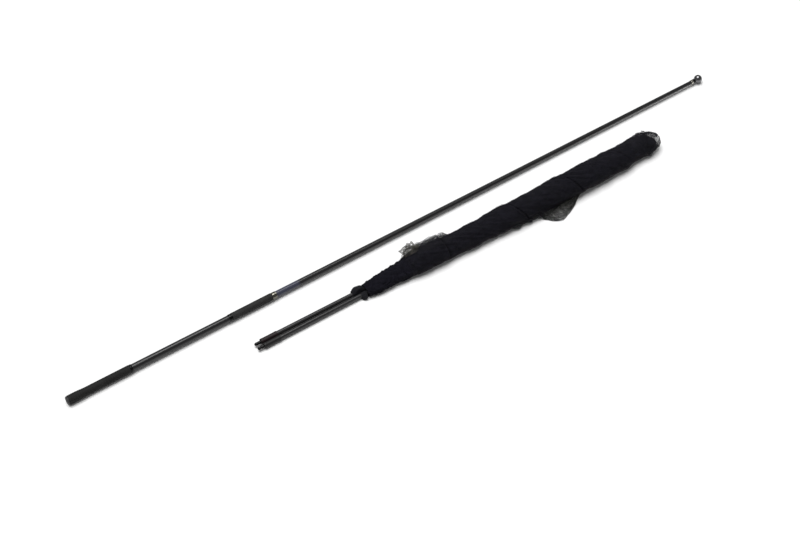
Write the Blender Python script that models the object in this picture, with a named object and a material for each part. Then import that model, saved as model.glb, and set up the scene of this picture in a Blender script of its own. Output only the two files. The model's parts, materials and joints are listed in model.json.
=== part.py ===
"""A packed-down carp landing net: a one-piece carbon handle, and its net head lying beside it.

The handle lies along +X with its butt at the low end.  A ball-headed plug is screwed into the thread
at its tip.  The net head lies on the -Y side: two carbon arms, drawn together, with the net wound round
them into a long roll, and the spreader block stowed inside the roll.  Everything rests on z = 0, and the
origin is under the middle of the whole object.
"""

from math import asin, cos, pi, radians, sin, sqrt, tan

import bmesh
import bpy
from mathutils import Vector

# ---------------------------------------------------------------- driving dimensions (metres)

GAP = 0.0003                     # between pieces that seat on each other
SLIDE_GAP = 0.0006               # round the arms, where they draw out of the net
FLOOR_GAP = 0.0002               # under a soft piece that just clears the surface
ROUND_STEPS = 32                 # facets round a turned piece
SMALL_STEPS = 24                 # facets round a small or hidden one
EDGE_STEPS = 5                   # facets across a rounded rim or a domed ring
FADE_STEPS = 6                   # facets along the butt grip's flare
MERGE_DISTANCE = 1e-7            # closes the seams that a spin leaves
SHARP_ANGLE = radians(35)        # an edge sharper than this isn't shaded smooth

HANDLE_LENGTH = 1.800            # butt face to the far side of the ball
BLANK_BUTT_DIAMETER = 0.0172
BLANK_TIP_DIAMETER = 0.0096
BLANK_WALL = 0.0010

BUTT_FLANGE_LENGTH = 0.0045
BUTT_FLANGE_STEP = 0.00165       # each step is how far a piece stands out of the blank there
BUTT_ROUNDING = 0.0034           # of the end face's rim
BUTT_SHANK_LENGTH = 0.030
BUTT_GRIP_LENGTH = 0.1475
BUTT_GRIP_STEP = 0.0010
BUTT_FLARE_STEP = 0.0022
BUTT_FLARE_LENGTH = 0.016        # of full flare
BUTT_FADE_LENGTH = 0.030         # over which the flare dies away
BUTT_CHECK_LENGTH = 0.0055
CHECK_STEP = 0.0010
CHECK_LIP_SHARE = 0.15           # of a check's length, at each end

MID_GRIP_START = 0.410
MID_GRIP_LENGTH = 0.104
MID_GRIP_STEP = 0.00108
LOWER_CHECK_LENGTH = 0.008
UPPER_CHECK_LENGTH = 0.011
GRIP_EDGE = 0.0006               # rounding at the grips' ends

TIP_COLLAR_LENGTH = 0.006
TIP_COLLAR_STEP = 0.0009
TIP_COLLAR_CHAMFER = (0.00045, 0.0003)    # along the blank, and down towards it
INSERT_FLANGE_LENGTH = 0.0045
INSERT_FLANGE_STEP = 0.0008
INSERT_SHANK_LENGTH = 0.030
THREAD_DIAMETER = 0.005          # M5, the handle's thread and the spreader's
THREAD_FIT = 0.0003              # radial room round a plain stud that stands for the thread
THREAD_CHAMFER = 0.0008
WASHER_LENGTH = 0.002
WASHER_STEP = 0.0007
BALL_DIAMETER = 0.0216
BALL_NECK_DIAMETER = 0.0100
BALL_NECK_LENGTH = 0.0015
PLUG_STUD_LENGTH = 0.0140        # from the ball's seat to the stud's end
PLUG_STUD_SEAT = 0.0080          # how deep it sits in the ball

HEAD_START = 0.4127              # the arms' spigot tips, from the butt face
HEAD_AWAY = 0.1018               # the arms' middle line, from the handle's axis
HEAD_YAW = radians(-0.25)
SLEEVE_CLEARANCE = 0.0013        # under the arms' sleeves

ARM_LENGTH = 1.067               # a 42 inch arm, sleeve face to tip
ARM_BUTT_DIAMETER = 0.0114
ARM_TIP_DIAMETER = 0.0074
ARM_WALL = 0.0012
SPIGOT_LENGTH = 0.0155
SPIGOT_DIAMETER = 0.0076
SPIGOT_NOSE = 0.0016             # how far the nose's chamfer takes the radius in
SPIGOT_NOSE_LENGTH = 0.00256
SPIGOT_FLANGE_LENGTH = 0.0012
SPIGOT_SHANK_LENGTH = 0.026
SLEEVE_LENGTH = 0.042
SLEEVE_STEP = 0.0010
ARM_CAP_LENGTH = 0.014
ARM_CAP_WALL = 0.0007
ARM_CAP_NOSE = ((0.5, 1.0), (1 / 6, 0.75), (0.0, 0.4))    # shares of its radius, back from the tip and out
ARMS_GAP = 0.0004                # between the two arms, at their sleeves and at their tip caps

POCKET_WALL = 0.0020
POCKET_SPLIT = 0.0014            # the pockets stop this far from the arms' middle line
POCKET_ROLL_GAP = 0.0013         # between the pockets and the wound net
POCKET_RINGS = 7
POCKET_HEM_SHARE = 0.15          # how far round a half circle the cloth's bulge starts and ends
FAR_POCKET_LENGTH = 0.0300
FAR_POCKET_BULGE = (0.0030, 0.0028)
NEAR_POCKET_LENGTH = 0.0160
NEAR_POCKET_BULGE = (-0.0030, 0.0004)

# The wound net: place along the arms (0 at the spigot tips, 1 at the arms' own tips), its middle's
# offset from the arms' middle line, and its half width and half height there.
ROLL_STATIONS = (
    (0.2653, -0.0027, 0.0173, 0.0100),
    (0.2977, -0.0035, 0.0212, 0.0135),
    (0.3577, -0.0022, 0.0236, 0.0160),
    (0.3992, -0.0024, 0.0290, 0.0225),
    (0.5054, -0.0068, 0.0270, 0.0215),
    (0.5978, -0.0071, 0.0283, 0.0225),
    (0.8102, -0.0096, 0.0314, 0.0260),
    (0.9423, -0.0079, 0.0308, 0.0250),
    (0.9968, -0.0022, 0.0280, 0.0222),
    (1.0226, -0.0010, 0.0262, 0.0190),
    (1.0418, 0.0000, 0.0205, 0.0150),
    (1.0510, 0.0004, 0.0110, 0.0085),
)
ROLL_RINGS = 44
ROLL_STEPS = 28
ROLL_SQUASH = 0.93               # the roll's middle is this share of its half height off the surface
CHANNEL_END_ROOM = 0.004         # past the arms' tips

# The corner of the net that lies open beside the roll: place along the arms, as above, and distance
# out from their middle line.
FLAP_STATIONS = ((0.6880, -0.0280), (0.6945, -0.0585), (0.7305, -0.0790), (0.8164, -0.0290))
FLAP_HEIGHT = 0.006

BLOCK_STATION = 0.8543
BLOCK_OFFSET = -0.0090
BLOCK_REAR_LENGTH = 0.020
BLOCK_REAR_WIDTH = 0.018
BLOCK_HEIGHT = 0.015
BLOCK_FLOOR = 0.0165             # its underside, above the surface
SOCKET_ANGLE = radians(32)
SOCKET_START = 0.005             # the socket axes' offset from the block's middle line
SOCKET_REACH = 0.024
SOCKET_FIT = 0.0003
SOCKET_WALL = 0.0034
BLOCK_STUD_OUT = 0.018
BLOCK_STUD_SEAT = 0.012
BLOCK_ROOM = 0.0008
BLOCK_WAIST_START = 0.004        # where the block starts to widen, behind its middle
CROTCH_RELIEF = radians(8)       # how much less steep the inside of the Y is than its sockets
CUT_OVERRUN = 0.004              # how far a cutter reaches past the face it opens

# ---------------------------------------------------------------- derived places

BUTT_FLARE_DIAMETER = BLANK_BUTT_DIAMETER + 2 * BUTT_FLARE_STEP
SLEEVE_DIAMETER = ARM_BUTT_DIAMETER + 2 * SLEEVE_STEP
AXIS_HEIGHT = max(BUTT_FLARE_DIAMETER, BALL_DIAMETER) / 2
BUTT_GRIP_START = BUTT_FLANGE_LENGTH + GAP
BUTT_GRIP_END = BUTT_GRIP_START + BUTT_GRIP_LENGTH
BLANK_START = BUTT_FLANGE_LENGTH + GAP

BALL_CENTRE = HANDLE_LENGTH - BALL_DIAMETER / 2
BALL_FLAT = sqrt((BALL_DIAMETER / 2) ** 2 - (BALL_NECK_DIAMETER / 2) ** 2)
PLUG_SEAT = BALL_CENTRE - BALL_FLAT - BALL_NECK_LENGTH
WASHER_START = PLUG_SEAT - GAP - WASHER_LENGTH
INSERT_FACE = WASHER_START - GAP
BLANK_END = INSERT_FACE - INSERT_FLANGE_LENGTH - GAP
COLLAR_START = BLANK_END - TIP_COLLAR_LENGTH

ARM_TAPER = (ARM_BUTT_DIAMETER - ARM_TIP_DIAMETER) / ARM_LENGTH
CAP_BORE = (ARM_TIP_DIAMETER + ARM_TAPER * ARM_CAP_LENGTH) / 2 + GAP
CAP_RADIUS = CAP_BORE + ARM_CAP_WALL
ARMS_APART_AT_BUTT = SLEEVE_DIAMETER + ARMS_GAP
ARMS_APART_AT_TIPS = 2 * CAP_RADIUS + ARMS_GAP
ARM_SPLAY = asin((ARMS_APART_AT_BUTT - ARMS_APART_AT_TIPS) / 2 / ARM_LENGTH)
ARM_START = SPIGOT_LENGTH + GAP
ARM_END = ARM_START + ARM_LENGTH
ARM_HEIGHT = SLEEVE_DIAMETER / 2 + SLEEVE_CLEARANCE

ROLL = [(share * ARM_END, *rest) for share, *rest in ROLL_STATIONS]
FLAP_CORNERS = [(share * ARM_END, out) for share, out in FLAP_STATIONS]
POCKET_END = ROLL[0][0] - POCKET_ROLL_GAP
BLOCK_MIDDLE = BLOCK_STATION * ARM_END

# ---------------------------------------------------------------- helpers


def clear_scene():
    for thing in list(bpy.data.objects):
        bpy.data.objects.remove(thing, do_unlink=True)


def material(name, colour, roughness, metallic=0.0):
    made = bpy.data.materials.new(name)
    made.use_nodes = True
    shader = made.node_tree.nodes["Principled BSDF"]
    shader.inputs["Base Color"].default_value = (*colour, 1.0)
    shader.inputs["Roughness"].default_value = roughness
    shader.inputs["Metallic"].default_value = metallic
    return made


def empty(name, place, yaw=0.0, parent=None):
    made = bpy.data.objects.new(name, None)
    made.empty_display_size = 0.02
    made.location = place
    made.rotation_euler = (0, 0, yaw)
    made.parent = parent
    bpy.context.scene.collection.objects.link(made)
    return made


def finish(name, shape, paint, parent=None, smooth=True):
    """Makes the node's object from a bmesh, with its normals out and round faces shaded smooth."""
    bmesh.ops.remove_doubles(shape, verts=shape.verts, dist=MERGE_DISTANCE)
    bmesh.ops.recalc_face_normals(shape, faces=shape.faces)
    mesh = bpy.data.meshes.new(name)
    shape.to_mesh(mesh)
    shape.free()
    if smooth:
        mesh.shade_smooth()
        mesh.set_sharp_from_angle(angle=SHARP_ANGLE)
    made = bpy.data.objects.new(name, mesh)
    made.parent = parent
    if paint:
        mesh.materials.append(paint)
    bpy.context.scene.collection.objects.link(made)
    return made


def turned(name, profile, paint, parent=None, steps=ROUND_STEPS):
    """Spins a closed outline of (distance along +X, radius) points about the parent's X axis."""
    shape = bmesh.new()
    corners = [shape.verts.new((along, 0, radius)) for along, radius in profile]
    around = [shape.edges.new(pair) for pair in zip(corners, corners[1:])]
    if min(profile[0][1], profile[-1][1]) > 0:
        around.append(shape.edges.new((corners[-1], corners[0])))
    bmesh.ops.spin(shape, geom=corners + around, axis=(1, 0, 0), cent=(0, 0, 0), angle=2 * pi,
                   steps=steps, use_merge=True)
    return finish(name, shape, paint, parent)


def combine(target, other, operation="DIFFERENCE"):
    """Cuts the other shape out of the target, or adds it, with a Boolean, and hides it."""
    other.hide_render = True
    other.display_type = "WIRE"
    boolean = target.modifiers.new(other.name, "BOOLEAN")
    boolean.operation = operation
    boolean.solver = "EXACT"
    boolean.object = other


def lofted(name, rings, paint, parent=None, smooth=True):
    """Joins closed rings of points into one closed skin, with a flat cap at each end."""
    shape = bmesh.new()
    loops = []
    for ring in rings:
        corners = [shape.verts.new(point) for point in ring]
        loops.append([shape.edges.new((corners[i - 1], corners[i])) for i in range(len(corners))])
    for first, second in zip(loops, loops[1:]):
        bmesh.ops.bridge_loops(shape, edges=first + second)
    for loop in (loops[0], loops[-1]):
        bmesh.ops.edgeloop_fill(shape, edges=loop)
    return finish(name, shape, paint, parent, smooth)


def prism(name, outline, low, high, paint, parent=None):
    """Extrudes a flat outline of (x, y) points from one height to another."""
    shape = bmesh.new()
    base = shape.faces.new([shape.verts.new((x, y, low)) for x, y in outline])
    raised = bmesh.ops.extrude_face_region(shape, geom=[base])["geom"]
    corners = [part for part in raised if isinstance(part, bmesh.types.BMVert)]
    bmesh.ops.translate(shape, vec=(0, 0, high - low), verts=corners)
    return finish(name, shape, paint, parent, smooth=False)


def blend(stations, along, column):
    """A smooth curve through one column of the stations."""
    last = len(stations) - 1
    at = next((i for i in range(last) if along <= stations[i + 1][0]), last - 1)
    a, b = stations[at], stations[at + 1]
    before, after = stations[max(at - 1, 0)], stations[min(at + 2, last)]
    span = b[0] - a[0]
    share = min(max((along - a[0]) / span, 0), 1)
    rise_in = (b[column] - before[column]) / (b[0] - before[0]) * span
    rise_out = (after[column] - a[column]) / (after[0] - a[0]) * span
    square, cube = share**2, share**3
    return ((2 * cube - 3 * square + 1) * a[column] + (cube - 2 * square + share) * rise_in
            + (3 * square - 2 * cube) * b[column] + (cube - square) * rise_out)


def blank_radius(along):
    """The handle blank's outer radius at a distance from the butt face."""
    share = (along - BLANK_START) / (BLANK_END - BLANK_START)
    return (BLANK_BUTT_DIAMETER + (BLANK_TIP_DIAMETER - BLANK_BUTT_DIAMETER) * share) / 2


def arm_radius(along):
    """An arm's outer radius at a distance from its spigot's tip."""
    return (ARM_BUTT_DIAMETER - ARM_TAPER * (along - ARM_START)) / 2


def arm_offset(along):
    """Half the distance between the arms' axes at a distance from the spigot tips."""
    return ARMS_APART_AT_BUTT / 2 - tan(ARM_SPLAY) * (along - ARM_START)


# ---------------------------------------------------------------- handle


def make_blank(paint, frame):
    turned("handle_blank", (
        (BLANK_START, blank_radius(BLANK_START)),
        (BLANK_END, blank_radius(BLANK_END)),
        (BLANK_END, blank_radius(BLANK_END) - BLANK_WALL),
        (BLANK_START, blank_radius(BLANK_START) - BLANK_WALL),
    ), paint, frame)


def make_butt_cap(paint, frame):
    """A cap whose shank plugs the blank, and whose flange is the butt's end face."""
    flange, edge = BLANK_BUTT_DIAMETER / 2 + BUTT_FLANGE_STEP, GRIP_EDGE
    turns = [pi / 2 * i / EDGE_STEPS for i in range(EDGE_STEPS + 1)]
    shank_end = BLANK_START + BUTT_SHANK_LENGTH
    shank = blank_radius(shank_end) - BLANK_WALL - GAP
    turned("butt_cap", (
        (0, 0),
        *((BUTT_ROUNDING * (1 - cos(a)), flange - BUTT_ROUNDING * (1 - sin(a))) for a in turns),
        (BUTT_FLANGE_LENGTH, flange),
        (BUTT_FLANGE_LENGTH, shank),
        (shank_end - edge, shank),
        (shank_end, shank - edge),
        (shank_end, 0),
    ), paint, frame)


def make_butt_grip(paint, frame):
    """A sleeve on the blank, flared over the butt and rounded at both ends."""
    start, end = BUTT_GRIP_START, BUTT_GRIP_END
    flare, outer = BUTT_FLARE_DIAMETER / 2, blank_radius(start) + BUTT_GRIP_STEP
    bore = blank_radius(start) + GAP
    shares = [i / FADE_STEPS for i in range(FADE_STEPS + 1)]
    fade = start + BUTT_FLARE_LENGTH
    turned("butt_grip", (
        (start, bore),
        (start, flare - GRIP_EDGE),
        (start + GRIP_EDGE, flare),
        *((fade + BUTT_FADE_LENGTH * s, outer + (flare - outer) * (1 + cos(pi * s)) / 2) for s in shares),
        (end - 2 * GRIP_EDGE, outer),
        (end, outer - GRIP_EDGE),
        (end, bore),
    ), paint, frame)


def make_mid_grip(paint, frame):
    start, end = MID_GRIP_START, MID_GRIP_START + MID_GRIP_LENGTH
    outer, bore = blank_radius(start) + MID_GRIP_STEP, blank_radius(start) + GAP
    turned("mid_grip", (
        (start, bore),
        (start, outer - GRIP_EDGE),
        (start + GRIP_EDGE, outer),
        (end - GRIP_EDGE, outer),
        (end, outer - GRIP_EDGE),
        (end, bore),
    ), paint, frame)


def make_check(name, start, length, paint, frame):
    """A winding check: a ring on the blank, domed between two thin lips."""
    bore, crown = blank_radius(start) + GAP, blank_radius(start) + CHECK_STEP
    lip = (bore + crown) / 2
    dome_start, dome_length = start + length * CHECK_LIP_SHARE, length * (1 - 2 * CHECK_LIP_SHARE)
    shares = [i / EDGE_STEPS for i in range(EDGE_STEPS + 1)]
    dome = [(dome_start + dome_length * s, lip + (crown - lip) * sin(pi * s)) for s in shares]
    end = start + length
    turned(name, ((start, bore), (start, lip), *dome, (end, lip), (end, bore)), paint, frame)


def make_tip(paints, frame):
    """The collar round the blank's end, and the threaded insert glued into it."""
    bore = blank_radius(COLLAR_START) + GAP
    outer = blank_radius(COLLAR_START) + TIP_COLLAR_STEP
    turned("tip_collar", (
        (COLLAR_START, bore),
        (COLLAR_START, outer - TIP_COLLAR_CHAMFER[1]),
        (COLLAR_START + TIP_COLLAR_CHAMFER[0], outer),
        (BLANK_END, outer),
        (BLANK_END, bore),
    ), paints["bright"], frame)
    flange, thread = BLANK_TIP_DIAMETER / 2 + INSERT_FLANGE_STEP, THREAD_DIAMETER / 2 + THREAD_FIT
    shank_start = BLANK_END - INSERT_SHANK_LENGTH
    shank = blank_radius(BLANK_END) - BLANK_WALL - GAP
    turned("thread_insert", (
        (shank_start, thread),
        (shank_start, shank),
        (BLANK_END + GAP, shank),
        (BLANK_END + GAP, flange),
        (INSERT_FACE, flange),
        (INSERT_FACE, thread),
    ), paints["black_metal"], frame)


def make_plug(paints, frame):
    """The ball-headed plug.  Its frame is on the screw's axis, where the ball seats."""
    seat = PLUG_SEAT
    stud, washer = THREAD_DIAMETER / 2, BLANK_TIP_DIAMETER / 2 + WASHER_STEP
    turned("sealing_washer", (
        (WASHER_START - seat, stud + GAP),
        (WASHER_START - seat, washer),
        (-GAP, washer),
        (-GAP, stud + GAP),
    ), paints["rubber"], frame, SMALL_STEPS)
    stud_tip = -PLUG_STUD_LENGTH
    turned("plug_stud", (
        (stud_tip, 0),
        (stud_tip, stud - THREAD_CHAMFER),
        (stud_tip + THREAD_CHAMFER, stud),
        (PLUG_STUD_SEAT, stud),
        (PLUG_STUD_SEAT, 0),
    ), paints["bright"], frame, SMALL_STEPS)
    radius, hole = BALL_DIAMETER / 2, stud + GAP
    start = asin(BALL_NECK_DIAMETER / 2 / radius)
    centre = BALL_CENTRE - seat
    steps = ROUND_STEPS // 2
    turn = [start + (pi - start) * i / steps for i in range(steps)]
    turned("ball_head", (
        (PLUG_STUD_SEAT + GAP, 0),
        (PLUG_STUD_SEAT + GAP, hole),
        (0, hole),
        (0, BALL_NECK_DIAMETER / 2),
        *((centre - radius * cos(a), radius * sin(a)) for a in turn),
        (centre + radius, 0),
    ), paints["gunmetal"], frame)


# ---------------------------------------------------------------- net head


def make_arm(side, paints, frame):
    """One arm along its frame's X axis: spigot, blank, butt sleeve and tip cap."""
    flange_end, shank_end = SPIGOT_LENGTH + SPIGOT_FLANGE_LENGTH, ARM_START + SPIGOT_SHANK_LENGTH
    shank = arm_radius(shank_end) - ARM_WALL - GAP
    turned(side + "_arm_spigot", (
        (0, 0),
        (0, SPIGOT_DIAMETER / 2 - SPIGOT_NOSE),
        (SPIGOT_NOSE_LENGTH, SPIGOT_DIAMETER / 2),
        (SPIGOT_LENGTH, SPIGOT_DIAMETER / 2),
        (SPIGOT_LENGTH, ARM_BUTT_DIAMETER / 2),
        (flange_end, ARM_BUTT_DIAMETER / 2),
        (flange_end, shank),
        (shank_end, shank),
        (shank_end, 0),
    ), paints["black_metal"], frame, SMALL_STEPS)
    start, end = flange_end + GAP, ARM_END - 2 * GAP - ARM_CAP_WALL
    turned(side + "_arm_blank", (
        (start, arm_radius(start)),
        (end, arm_radius(end)),
        (end, arm_radius(end) - ARM_WALL),
        (start, arm_radius(start) - ARM_WALL),
    ), paints["carbon"], frame, SMALL_STEPS)
    bore = ARM_BUTT_DIAMETER / 2 + GAP
    turned(side + "_arm_sleeve", (
        (ARM_START, bore),
        (ARM_START, SLEEVE_DIAMETER / 2 - GRIP_EDGE),
        (ARM_START + GRIP_EDGE, SLEEVE_DIAMETER / 2),
        (ARM_START + SLEEVE_LENGTH - GRIP_EDGE, SLEEVE_DIAMETER / 2),
        (ARM_START + SLEEVE_LENGTH, SLEEVE_DIAMETER / 2 - GRIP_EDGE),
        (ARM_START + SLEEVE_LENGTH, bore),
    ), paints["sleeve"], frame, SMALL_STEPS)
    cap_start = ARM_END - ARM_CAP_LENGTH
    turned(side + "_arm_tip_cap", (
        (cap_start, CAP_BORE),
        (cap_start, CAP_RADIUS),
        *((ARM_END - CAP_RADIUS * back, CAP_RADIUS * out) for back, out in ARM_CAP_NOSE),
        (ARM_END, 0),
        (end + GAP, 0),
        (end + GAP, CAP_BORE),
    ), paints["rubber"], frame, SMALL_STEPS)


def roll_ring(along):
    """The roll's outline at one place: an ellipse pressed flat where it meets the surface."""
    middle, half_width, half_height = (blend(ROLL, along, column) for column in (1, 2, 3))
    rise = ROLL_SQUASH * half_height
    ring = []
    for i in range(ROLL_STEPS):
        turn = 2 * pi * (i + 0.5) / ROLL_STEPS
        ring.append((along, middle + half_width * cos(turn), max(rise + half_height * sin(turn), 0)))
    return ring


def channel_ring(along, piece_radius):
    """The outline of a slot round both arms, with room for them to slide."""
    radius, offset = piece_radius + SLIDE_GAP, arm_offset(along)
    half = SMALL_STEPS // 2
    ring = []
    for side in (1, -1):
        for i in range(half + 1):
            turn = -pi / 2 + pi * i / half
            ring.append((along, side * (offset + radius * cos(turn)), ARM_HEIGHT + side * radius * sin(turn)))
    return ring


def make_roll(paint, frame):
    """The wound net with its loose corner, the arms' channel and the space for the spreader block."""
    first, last = ROLL[0][0], ROLL[-1][0]
    rings = [roll_ring(first + (last - first) * i / ROLL_RINGS) for i in range(ROLL_RINGS + 1)]
    roll = lofted("net_roll", rings, paint, frame)
    combine(roll, prism("loose_corner", FLAP_CORNERS, 0, FLAP_HEIGHT, None, frame), "UNION")

    mouth = first - CUT_OVERRUN
    combine(roll, lofted("arm_channel", (
        channel_ring(mouth, max(arm_radius(mouth), CAP_RADIUS)),
        channel_ring(ARM_END + CHANNEL_END_ROOM, CAP_RADIUS),
    ), None, frame))

    reach = SOCKET_REACH * cos(SOCKET_ANGLE) + socket_half() * sin(SOCKET_ANGLE)
    wide = block_half_width() + BLOCK_ROOM
    back = BLOCK_MIDDLE - BLOCK_REAR_LENGTH - BLOCK_STUD_OUT - BLOCK_ROOM
    front = BLOCK_MIDDLE + reach + BLOCK_ROOM
    combine(roll, prism("block_space", (
        (back, BLOCK_OFFSET - wide), (front, BLOCK_OFFSET - wide),
        (front, BLOCK_OFFSET + wide), (back, BLOCK_OFFSET + wide),
    ), ARM_HEIGHT, BLOCK_FLOOR + BLOCK_HEIGHT + BLOCK_ROOM, None, frame))


def pocket_ring(along, side, bore, swell, bulge):
    """The outline of a pocket at one place, bulged outwards and upwards by its slack cloth."""
    radius = bore + POCKET_WALL * swell
    outwards = 1 if bulge[0] > 0 else -1
    ring = []
    for i in range(SMALL_STEPS):
        turn = 2 * pi * i / SMALL_STEPS
        y = side * arm_offset(along) + radius * cos(turn) + bulge[0] * swell * max(outwards * cos(turn), 0)
        z = ARM_HEIGHT + radius * sin(turn) + bulge[1] * swell * max(sin(turn), 0)
        ring.append((along, y, max(z, FLOOR_GAP)))
    return ring


def make_pocket(name, length, side, bulge, paint, frame):
    """The gathered mouth of one arm's pocket: a soft ring round the arm, open towards the other arm."""
    start = POCKET_END - length
    bore = arm_radius(start) + SLIDE_GAP
    rings = []
    for i in range(POCKET_RINGS):
        share = i / (POCKET_RINGS - 1)
        swell = sin(pi * (POCKET_HEM_SHARE + (1 - 2 * POCKET_HEM_SHARE) * share))
        rings.append(pocket_ring(start + length * share, side, bore, swell, bulge))
    pocket = lofted(name, rings, paint, frame)
    ends = (start - CUT_OVERRUN, POCKET_END + CUT_OVERRUN)
    hole = [[(along, side * arm_offset(along) + bore * cos(turn), ARM_HEIGHT + bore * sin(turn))
             for turn in (2 * pi * i / SMALL_STEPS for i in range(SMALL_STEPS))] for along in ends]
    combine(pocket, lofted(name + "_hole", hole, None, frame))
    inner, beyond = side * POCKET_SPLIT, -side * 2 * SLEEVE_DIAMETER
    combine(pocket, prism(name + "_split", (
        (ends[0], inner), (ends[1], inner), (ends[1], beyond), (ends[0], beyond),
    ), -ARM_HEIGHT, 3 * ARM_HEIGHT, None, frame))


def socket_half():
    """Half the width of the block round one socket."""
    return SPIGOT_DIAMETER / 2 + SOCKET_FIT + SOCKET_WALL


def block_half_width():
    return SOCKET_START + SOCKET_REACH * sin(SOCKET_ANGLE) + socket_half() * cos(SOCKET_ANGLE)


def make_spreader(paints, frame):
    """The block that holds the arms apart in use: a Y with two sockets and a stud."""
    ahead = Vector((cos(SOCKET_ANGLE), sin(SOCKET_ANGLE)))
    across = Vector((-ahead.y, ahead.x))
    mouth = Vector((0, SOCKET_START)) + ahead * SOCKET_REACH
    outer, inner = mouth + across * socket_half(), mouth - across * socket_half()
    crotch = (inner.x - inner.y / tan(pi / 2 - SOCKET_ANGLE + CROTCH_RELIEF), 0)
    rear = BLOCK_REAR_WIDTH / 2
    half = [(-BLOCK_REAR_LENGTH, rear), (-BLOCK_WAIST_START, rear), (outer.x, outer.y), (inner.x, inner.y)]
    outline = half + [crotch] + [(x, -y) for x, y in reversed(half)]
    places = [(BLOCK_MIDDLE + x, BLOCK_OFFSET + y) for x, y in outline]
    block = prism("spreader_block", places, BLOCK_FLOOR, BLOCK_FLOOR + BLOCK_HEIGHT, paints["moulded"], frame)

    height = BLOCK_FLOOR + BLOCK_HEIGHT / 2
    bore, floor = SPIGOT_DIAMETER / 2 + SOCKET_FIT, SOCKET_REACH - SPIGOT_LENGTH
    for side, name in ((1, "far_socket"), (-1, "near_socket")):
        socket = turned(name, (
            (floor, 0),
            (floor, bore),
            (SOCKET_REACH + CUT_OVERRUN, bore),
            (SOCKET_REACH + CUT_OVERRUN, 0),
        ), None, frame, SMALL_STEPS)
        socket.location = (BLOCK_MIDDLE, BLOCK_OFFSET + side * SOCKET_START, height)
        socket.rotation_euler = (0, 0, side * SOCKET_ANGLE)
        combine(block, socket)

    stud, back = THREAD_DIAMETER / 2, BLOCK_MIDDLE - BLOCK_REAR_LENGTH
    seat = turned("stud_seat", (
        (-CUT_OVERRUN, 0),
        (-CUT_OVERRUN, stud + GAP),
        (BLOCK_STUD_SEAT + GAP, stud + GAP),
        (BLOCK_STUD_SEAT + GAP, 0),
    ), None, frame, SMALL_STEPS)
    seat.location = (back, BLOCK_OFFSET, height)
    combine(block, seat)
    piece = turned("spreader_stud", (
        (-BLOCK_STUD_OUT, 0),
        (-BLOCK_STUD_OUT, stud - THREAD_CHAMFER),
        (THREAD_CHAMFER - BLOCK_STUD_OUT, stud),
        (BLOCK_STUD_SEAT, stud),
        (BLOCK_STUD_SEAT, 0),
    ), paints["bright"], frame, SMALL_STEPS)
    piece.location = (back, BLOCK_OFFSET, height)


# ---------------------------------------------------------------- the whole object


def near_reach():
    """How far the loose corner reaches from the handle's axis, in Y."""
    return max(HEAD_AWAY - (x * sin(HEAD_YAW) + y * cos(HEAD_YAW)) for x, y in FLAP_CORNERS)


def main():
    clear_scene()
    paints = {
        "carbon": material("carbon", (0.030, 0.031, 0.033), 0.22),
        "grip": material("grip", (0.018, 0.018, 0.019), 0.65),
        "bright": material("bright_metal", (0.62, 0.62, 0.60), 0.18, 1.0),
        "black_metal": material("black_metal", (0.020, 0.020, 0.021), 0.30, 1.0),
        "gunmetal": material("gunmetal", (0.090, 0.090, 0.092), 0.16, 1.0),
        "rubber": material("rubber", (0.012, 0.012, 0.012), 0.55),
        "sleeve": material("sleeve", (0.022, 0.016, 0.017), 0.50),
        "net": material("net", (0.012, 0.012, 0.015), 0.85),
        "pocket": material("pocket", (0.020, 0.020, 0.024), 0.80),
        "moulded": material("moulded", (0.016, 0.016, 0.017), 0.45),
    }
    handle_y = (near_reach() - AXIS_HEIGHT) / 2
    handle = empty("handle_frame", (-HANDLE_LENGTH / 2, handle_y, AXIS_HEIGHT))
    make_blank(paints["carbon"], handle)
    make_butt_cap(paints["rubber"], handle)
    make_butt_grip(paints["grip"], handle)
    make_check("butt_winding_check", BUTT_GRIP_END + GAP, BUTT_CHECK_LENGTH, paints["black_metal"], handle)
    make_check("mid_check_lower", MID_GRIP_START - GAP - LOWER_CHECK_LENGTH, LOWER_CHECK_LENGTH,
               paints["bright"], handle)
    make_mid_grip(paints["grip"], handle)
    make_check("mid_check_upper", MID_GRIP_START + MID_GRIP_LENGTH + GAP, UPPER_CHECK_LENGTH,
               paints["bright"], handle)
    make_tip(paints, handle)
    make_plug(paints, empty("plug_frame", (PLUG_SEAT, 0, 0), parent=handle))

    head = empty("head_frame", (HEAD_START - HANDLE_LENGTH / 2, handle_y - HEAD_AWAY, 0), HEAD_YAW)
    make_roll(paints["net"], head)
    make_spreader(paints, head)
    make_pocket("far_arm_pocket", FAR_POCKET_LENGTH, 1, FAR_POCKET_BULGE, paints["pocket"], head)
    make_pocket("near_arm_pocket", NEAR_POCKET_LENGTH, -1, NEAR_POCKET_BULGE, paints["pocket"], head)
    for side, sign in (("far", 1), ("near", -1)):
        arm = empty(side + "_arm_frame", (0, sign * arm_offset(0), ARM_HEIGHT), -sign * ARM_SPLAY, head)
        make_arm(side, paints, arm)


main()
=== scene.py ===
"""The looks of a packed-down landing net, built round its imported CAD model.

The handle lies along +X with a ball-headed plug in its tip.  Beside it lies the net head: two arms, drawn
together, inside a long roll of wound black netting.  Every place and size comes from the CAD model.
"""

import json
from math import cos, pi, radians, sin

import bmesh
import bpy
import numpy as np
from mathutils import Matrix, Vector, noise


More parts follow.
